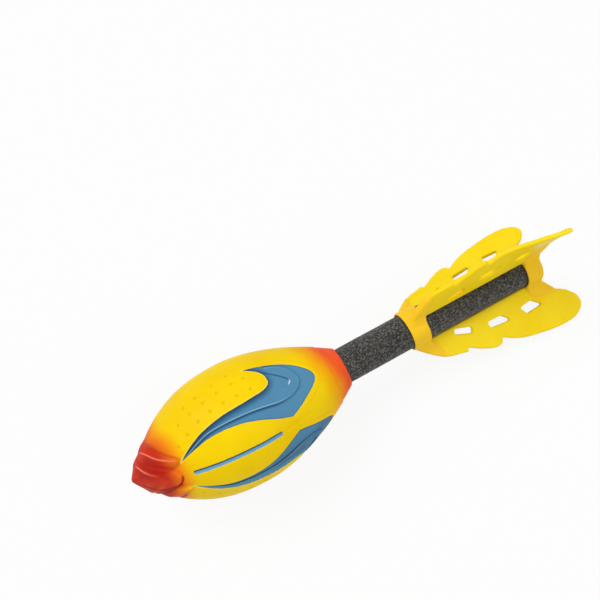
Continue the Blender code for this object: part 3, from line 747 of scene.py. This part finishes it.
def startRound(name, size):
    # a cylinder from its start to the stick's end, left in edit mode
    length = rocket["stickEnd"] - size["start"]
    deselectAll()
    bpy.ops.mesh.primitive_cylinder_add(vertices=size["around"], radius=size["radius"], depth=length,
                                        location=(0, 0, size["start"] + length / 2), end_fill_type="NGON")
    piece = bpy.context.object
    piece.name = name
    bpy.ops.object.transform_apply(location=True)
    bpy.ops.object.mode_set(mode="EDIT")
    return piece


def endRound():
    bpy.ops.mesh.select_all(action="SELECT")
    bpy.ops.mesh.normals_make_consistent(inside=False)
    bpy.ops.object.mode_set(mode="OBJECT")


def level(one, other):
    # whether the edge between two points lies across the stick's axis
    return abs(one.z - other.z) < rocket["near"]


def makeSleeve():
    piece = startRound("foamSleeve", sleeve)
    pickFaces(piece, lambda face: abs(face.normal.z) > 0.9)
    bpy.ops.mesh.inset(thickness=sleeve["radius"] - sleeve["bore"])
    bpy.ops.mesh.bridge_edge_loops()
    pickEdges(piece, lambda one, other: not level(one, other) and one.to_2d().length > sleeve["skinFrom"])
    bpy.ops.mesh.subdivide(number_cuts=sleeve["rings"])
    ends = (sleeve["start"], rocket["stickEnd"])
    pickEdges(piece, lambda one, other: level(one, other)
              and min(abs(one.z - end) for end in ends) < rocket["near"]
              and min(one.to_2d().length, other.to_2d().length) > sleeve["skinFrom"])
    bpy.ops.mesh.bevel(offset=sleeve["edge"], segments=sleeve["edgeSteps"], affect="EDGES")
    endRound()
    points = pointsOf(piece)
    for place, point in enumerate(points):
        across = math.hypot(point[0], point[1])
        if across < sleeve["skinFrom"]:
            continue
        spot = Vector(point) / sleeve["beadSize"]
        bead = noise.voronoi(spot)[0][0] - 0.5
        wave = noise.noise(spot * sleeve["swellSize"])
        points[place, :2] *= 1 + (sleeve["swell"] * wave - sleeve["beadDepth"] * bead) / across
    movePoints(piece, points)
    bpy.ops.object.shade_smooth_by_angle(angle=math.radians(sleeve["smoothUnder"]))
    layDown(piece)
    return piece


def sleeveFinish():
    finish = Finish("speckledBeadFoam", {"Roughness": 0.85, "Specular IOR Level": 0.5, "Sheen Weight": 0.15,
                                         "Sheen Roughness": 0.5})
    speck = finish.grain(*sleeve["speckGrain"])
    bead = finish.cells(sleeve["beadCells"])
    cloud = finish.grain(*sleeve["cloudGrain"])
    tone = finish.colour(speck.rise(*sleeve["speckIn"]), sleeve["black"], sleeve["speck"])
    tone = finish.colour(bead.rise(*sleeve["seamIn"]), tone, sleeve["seam"])
    tone = finish.colour(cloud.rise(*sleeve["cloudIn"]), tone, sleeve["grey"])
    finish.feed("Base Color", tone)
    finish.feed("Roughness", speck.rise(*sleeve["roughness"]))
    finish.bump(bead * sleeve["beadHeight"] + speck * sleeve["speckHeight"])
    return finish


def makeRod():
    piece = startRound("coreRod", rod)
    pickEdges(piece, level)
    bpy.ops.mesh.bevel(offset=rod["edge"], segments=rod["edgeSteps"], affect="EDGES")
    pickFaces(piece, lambda face: face.normal.z > 0.99)
    bpy.ops.mesh.inset(thickness=rod["radius"] - rod["edge"] - rod["eye"])
    bpy.ops.mesh.extrude_region_move(TRANSFORM_OT_translate={"value": (0, 0, -rod["eyeDepth"])})
    endRound()
    bpy.ops.object.shade_smooth_by_angle(angle=math.radians(rod["smoothUnder"]))
    layDown(piece)
    return piece


def rodFinish():
    finish = Finish("naturalPlasticRod", {"Roughness": 0.45, "Specular IOR Level": 0.5})
    streak = finish.grain(*rod["streakGrain"])
    finish.feed("Base Color", finish.colour(streak.rise(*rod["streak"]), rod["grey"], rod["white"]))
    finish.feed("Roughness", streak.rise(*rod["roughness"]))
    finish.bump(finish.grain(*rod["peelGrain"]), *rod["peelBump"])
    return finish


foamSleeve = makeSleeve()
sleeveFinish().dress(foamSleeve)
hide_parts("foam_sleeve")
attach(foamSleeve, "root")
coreRod = makeRod()
rodFinish().dress(coreRod)
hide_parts("core_rod")
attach(coreRod, "root")
print("stick:", len(foamSleeve.data.vertices), "points")


# Tail: the CAD's own form with rounded, moulded edges

tail = {
    "weld": 0.00001, "voxel": 0.00058, "softenings": (8, 4), "softness": 0.5,    # the lengths in metres
    "collarRadius": 13.8, "rearCollar": 91.1, "gussetRise": 9.8,                 # mm from here on
    "frontGusset": 15.6, "frontGussetFrom": 12.6, "frontGussetSlope": 0.227, "farOff": -200,
    "frontLean": 0.26, "middleLean": 0.08,      # of the top fin to the far side, per height above the collar
    "leanEases": (14, 48), "leanEnds": (62, 92),
    "yellow": (0.96, 0.68, 0.004), "paleYellow": (0.99, 0.73, 0.012), "amber": (1.0, 0.58, 0.022),
    "cloudGrain": (30, 3, 0.55), "cloud": (0.35, 0.65), "drift": 1.5,
    "thick": (-3.5, 1.5, 0, 0.75), "nearStick": (12.2, 16.5, 0.35, 0),        # mm, then amounts of amber
    "glossGrain": (120, 3, 0.6), "gloss": (0.3, 0.7, 0.32, 0.48),
    "fineGrain": (500, 2, 0.5), "fineShare": 0.4, "coarseGrain": (90, 2, 0.5), "peelBump": (0.10, 0.0004),
}


def makeTail():
    deselectAll()
    piece = bpy.data.objects.new("tailFins", nodes["tail_fin_unit"].data.copy())
    bpy.context.scene.collection.objects.link(piece)
    takeUp(piece)
    bpy.ops.object.mode_set(mode="EDIT")
    bpy.ops.mesh.select_all(action="SELECT")
    bpy.ops.mesh.remove_doubles(threshold=tail["weld"])
    bpy.ops.object.mode_set(mode="OBJECT")
    piece.data.transform(atRest.inverted())
    for rounds in tail["softenings"]:       # the second pass clears the marks of the first one's grid
        finishWith(piece, "REMESH", mode="VOXEL", voxel_size=tail["voxel"])
        finishWith(piece, "SMOOTH", factor=tail["softness"], iterations=rounds)

    points = pointsOf(piece) * 1000
    along = points[:, 2] - rocket["tailStart"] * 1000
    across = np.hypot(points[:, 0], points[:, 1])
    frontGusset = tail["frontGusset"] + (across - tail["frontGussetFrom"]) * tail["frontGussetSlope"] - along
    rise = np.clip((along - tail["rearCollar"]) / tail["gussetRise"], 0, 1)
    crown = tail["gussetRise"] * np.sqrt(1 - (1 - rise) ** 2)
    rearGusset = np.where(along > tail["rearCollar"], tail["collarRadius"] + crown - across, tail["farOff"])
    keepReading(piece, "thick", np.maximum(frontGusset, rearGusset))
    keepReading(piece, "reach", across)
    lean = tail["frontLean"] + (tail["middleLean"] - tail["frontLean"]) * ease(along, *tail["leanEases"])
    lean -= tail["middleLean"] * ease(along, *tail["leanEnds"])
    points[:, 1] -= lean * np.clip(points[:, 0] - tail["collarRadius"], 0, None)
    movePoints(piece, points / 1000)
    bpy.ops.object.shade_smooth()
    layDown(piece)
    return piece


def tailFinish():
    finish = Finish("softTailPlastic", {"IOR": 1.18, "Subsurface Weight": 0.25,
                                        "Subsurface Radius": (0.004, 0.002, 0.0004), "Subsurface Scale": 0.5})
    cloud = finish.grain(*tail["cloudGrain"])
    thick = finish.reading("thick") + (cloud - 0.5) * tail["drift"]
    tone = finish.colour(cloud.rise(*tail["cloud"]), tail["yellow"], tail["paleYellow"])
    tone = finish.colour(thick.rise(*tail["thick"]), tone, tail["amber"])
    tone = finish.colour(finish.reading("reach").rise(*tail["nearStick"]), tone, tail["amber"])
    finish.feed("Base Color", tone)
    finish.feed("Roughness", finish.grain(*tail["glossGrain"]).rise(*tail["gloss"]))
    peel = finish.grain(*tail["fineGrain"]) * tail["fineShare"] + finish.grain(*tail["coarseGrain"])
    finish.bump(peel, *tail["peelBump"])
    return finish


tailFins = makeTail()
tailFinish().dress(tailFins)
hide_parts("tail_fin_unit")
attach(tailFins, "root")
print("tail:", len(tailFins.data.vertices), "points")


# Floor, light and camera

studio = {
    "floorSize": 8.0, "floorHeight": -0.0002, "floorColour": (0.78, 0.78, 0.78), "floorGlow": 0.90,
    "skyStrength": 0.36,
    "keyFrom": (-0.30, 0.44, 0.85), "keyAngle": 38.0, "keyStrength": 1.85,
    "fillFrom": (0.42, -0.56, 0.72), "fillAngle": 60.0, "fillStrength": 1.05,
}


def makeFloor():
    deselectAll()
    bpy.ops.mesh.primitive_plane_add(size=studio["floorSize"], location=(0, 0, studio["floorHeight"]))
    floor = bpy.context.object
    floor.name = "studioFloor"
    finish = Finish("paleFloor", {"Base Color": (*studio["floorColour"], 1), "Roughness": 0.8})
    camera, shiny, clear = [finish.node("ShaderNodeLightPath", {}, {}, ray)
                            for ray in ("Is Camera Ray", "Is Glossy Ray", "Is Transmission Ray")]
    seen = finish.node("ShaderNodeMath", {"operation": "MINIMUM"}, {0: camera + shiny + clear, 1: 1.0})
    glow = finish.node("ShaderNodeEmission", {}, {"Color": (1, 1, 1, 1), "Strength": 1.0})
    mixed = finish.node("ShaderNodeMixShader", {}, {
        0: seen * studio["floorGlow"], 1: Wire(finish, finish.shader.outputs[0]), 2: glow})
    finish.tree.links.new(mixed.socket, finish.tree.nodes["Material Output"].inputs["Surface"])
    finish.dress(floor)


def makeSky():
    # pure white to the camera, and only as bright as its strength on the rocket
    world = bpy.data.worlds.new("softStudio")
    bpy.context.scene.world = world
    world.use_nodes = True
    tree = world.node_tree
    background = tree.nodes["Background"]
    background.inputs["Color"].default_value = (1, 1, 1, 1)
    path = tree.nodes.new("ShaderNodeLightPath")
    strength = tree.nodes.new("ShaderNodeMapRange")
    strength.inputs["To Min"].default_value = studio["skyStrength"]
    strength.inputs["To Max"].default_value = 1.0
    tree.links.new(path.outputs["Is Camera Ray"], strength.inputs["Value"])
    tree.links.new(strength.outputs[0], background.inputs["Strength"])


def makeLights():
    for name in ("key", "fill"):
        lamp = bpy.data.lights.new(name + "Light", "SUN")
        lamp.angle = math.radians(studio[name + "Angle"])
        lamp.energy = studio[name + "Strength"]
        light = bpy.data.objects.new(name + "Light", lamp)
        bpy.context.scene.collection.objects.link(light)
        light.location = studio[name + "From"]
        light.rotation_euler = light.location.to_track_quat("Z", "Y").to_euler()


view = {
    "place": (-0.05389, -0.12467, 0.42966),
    "right": (0.870815, -0.472096, -0.137141),
    "up": (0.482098, 0.765447, 0.426232),
    "back": (-0.096248, -0.437284, 0.894158),
    "focal": 621.82, "middle": (292.18, 288.44), "image": 600,     # pixels
    "sensor": 36.0, "nearest": 0.01,                               # mm and metres
}


def makeCamera():
    lens = bpy.data.cameras.new("photoView")
    camera = bpy.data.objects.new("photoView", lens)
    bpy.context.scene.collection.objects.link(camera)
    axes = [view["right"], view["up"], view["back"]]
    camera.matrix_world = Matrix([[axes[column][row] for column in range(3)] + [view["place"][row]]
                                  for row in range(3)] + [[0, 0, 0, 1]])
    half = view["image"] / 2
    lens.sensor_width = view["sensor"]
    lens.lens = view["focal"] / view["image"] * view["sensor"]
    lens.shift_x = (half - view["middle"][0]) / view["image"]
    lens.shift_y = (view["middle"][1] - half) / view["image"]
    lens.clip_start = view["nearest"]
    bpy.context.scene.camera = camera


makeFloor()
makeSky()
makeLights()
makeCamera()
bpy.context.scene.view_settings.view_transform = "Standard"
print("studio ready")
